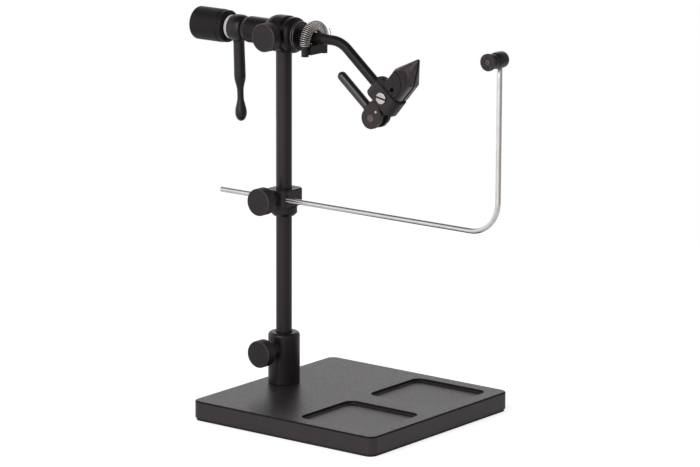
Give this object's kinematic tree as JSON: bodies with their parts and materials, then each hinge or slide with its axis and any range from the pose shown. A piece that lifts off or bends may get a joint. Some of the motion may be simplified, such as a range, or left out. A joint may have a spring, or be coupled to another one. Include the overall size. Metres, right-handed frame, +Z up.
{
  "type": "fly tying vise",
  "caption": "Rotary fly tying vise: square pedestal plate with trays, post, rotary head with crank and drag knob, bent stem, cam-lever jaws, material spring, thread clip on a rod.",
  "frame": {"origin": "middle of the pedestal's flat underside, on the table", "axes": "+X forward, from the drag knob to the jaws; +Y to the far side; +Z up"},
  "size_m": [0.23, 0.1338, 0.2339],
  "materials": {
    "black_finish": "satin black",
    "dark_steel": "dark blackened steel",
    "bright_steel": "bright steel",
    "bronze": "sintered bronze",
    "white_plastic": "matte white",
    "grip_rubber": "matte black"
  },
  "bodies": {
    "base": {"base_plate": "black_finish", "base_pad": "grip_rubber", "socket": "black_finish", "socket_bolt": "bright_steel"},
    "socket_knob": {"socket_thumbscrew": "black_finish"},
    "mast": {"post": "black_finish"},
    "head": {"head_housing": "black_finish", "head_set_screw": "dark_steel", "front_bush": "bronze", "rear_bush": "bronze"},
    "head_knob": {"head_thumbscrew": "black_finish", "thumbscrew_tip": "white_plastic"},
    "rotor": {"rotary_shaft": "dark_steel", "front_collar": "black_finish", "spring_saddle": "dark_steel", "saddle_screw": "dark_steel", "material_spring": "bright_steel", "crank_hub": "black_finish", "hub_set_screw": "dark_steel", "crank_lever": "black_finish", "friction_washer": "white_plastic", "stem": "black_finish", "stem_set_screw": "dark_steel", "jaw_collar": "black_finish", "collar_set_screw": "dark_steel", "jaw_guide_screw": "bright_steel"},
    "drag": {"drag_knob": "black_finish"},
    "jaw_draw": {"cam_pin": "dark_steel", "jaw_spring": "bright_steel"},
    "jaw_near": {"near_jaw": "dark_steel"},
    "jaw_far": {"far_jaw": "dark_steel"},
    "cam": {"cam_head": "black_finish", "near_rivet": "bright_steel", "far_rivet": "bright_steel", "cam_lever": "black_finish"},
    "stop": {"stop_collar": "black_finish", "stop_set_screw": "dark_steel"},
    "clamp": {"clamp_block": "black_finish"},
    "clamp_knob": {"clamp_thumbscrew": "black_finish"},
    "rod": {"clip_rod": "bright_steel"},
    "clip": {"clip_body": "black_finish", "clip_set_screw": "dark_steel", "clip_spring": "bright_steel"},
    "disc": {"clip_disc": "dark_steel", "clip_screw": "bright_steel"}
  },
  "joints": [
    {"name": "socket_screw_turn", "type": "hinge", "parent": "base", "child": "socket_knob", "pos_m": [-0.0508, 0, 0.0335], "axis": [0, -1, 0], "continuous": true},
    {"name": "post_height", "type": "slide", "parent": "base", "child": "mast", "axis": [0, 0, 1], "range_m": [0, 0.011]},
    {"name": "head_swivel", "type": "hinge", "parent": "mast", "child": "head", "pos_m": [-0.0508, 0, 0.2228], "axis": [0, 0, 1], "continuous": true},
    {"name": "head_screw_turn", "type": "hinge", "parent": "head", "child": "head_knob", "pos_m": [-0.0508, 0, 0.2228], "axis": [0, -1, 0], "continuous": true},
    {"name": "rotary_turn", "type": "hinge", "parent": "head", "child": "rotor", "pos_m": [-0.0508, 0, 0.2228], "axis": [1, 0, 0], "continuous": true},
    {"name": "drag_knob_turn", "type": "hinge", "parent": "rotor", "child": "drag", "pos_m": [-0.1108, 0, 0.2228], "axis": [1, 0, 0], "continuous": true},
    {"name": "jaw_draw_slide", "type": "slide", "parent": "rotor", "child": "jaw_draw", "axis": [0.6428, 0, 0.766], "range_m": [0, 0.003]},
    {"name": "near_jaw_open", "type": "hinge", "parent": "jaw_draw", "child": "jaw_near", "pos_m": [0.0169, 0, 0.18108], "axis": [0.766, 0, -0.6428], "range_deg": [0, 0.5]},
    {"name": "far_jaw_open", "type": "hinge", "parent": "jaw_draw", "child": "jaw_far", "pos_m": [0.0169, 0, 0.18108], "axis": [0.766, 0, -0.6428], "range_deg": [-0.5, 0]},
    {"name": "cam_lever_swing", "type": "hinge", "parent": "jaw_draw", "child": "cam", "pos_m": [0.0169, 0, 0.18108], "axis": [0, -1, 0], "range_deg": [0, 90]},
    {"name": "stop_height", "type": "slide", "parent": "mast", "child": "stop", "axis": [0, 0, 1], "range_m": [-0.055, 0.03]},
    {"name": "clamp_swivel", "type": "hinge", "parent": "stop", "child": "clamp", "pos_m": [-0.0508, 0, 0.1252], "axis": [0, 0, 1], "continuous": true},
    {"name": "clamp_screw_turn", "type": "hinge", "parent": "clamp", "child": "clamp_knob", "pos_m": [-0.0508, 0, 0.1256], "axis": [0, -1, 0], "continuous": true},
    {"name": "rod_reach", "type": "slide", "parent": "clamp", "child": "rod", "axis": [1, 0, 0], "range_m": [-0.045, 0.03]},
    {"name": "clip_swivel", "type": "hinge", "parent": "rod", "child": "clip", "pos_m": [0.1096, -0.00662, 0.226], "axis": [0, 0, 1], "continuous": true},
    {"name": "clip_disc_lift", "type": "slide", "parent": "clip", "child": "disc", "axis": [0, -1, 0], "range_m": [0, 0.001], "stiffness_N_per_m": 500, "springref_m": -0.001}
  ],
  "couplings": [
    {"joint": "cam_lever_swing", "follows": "jaw_draw_slide", "rad_per_m": 523.5},
    {"joint": "near_jaw_open", "follows": "jaw_draw_slide", "rad_per_m": 2.908},
    {"joint": "far_jaw_open", "follows": "jaw_draw_slide", "rad_per_m": -2.908}
  ]
}
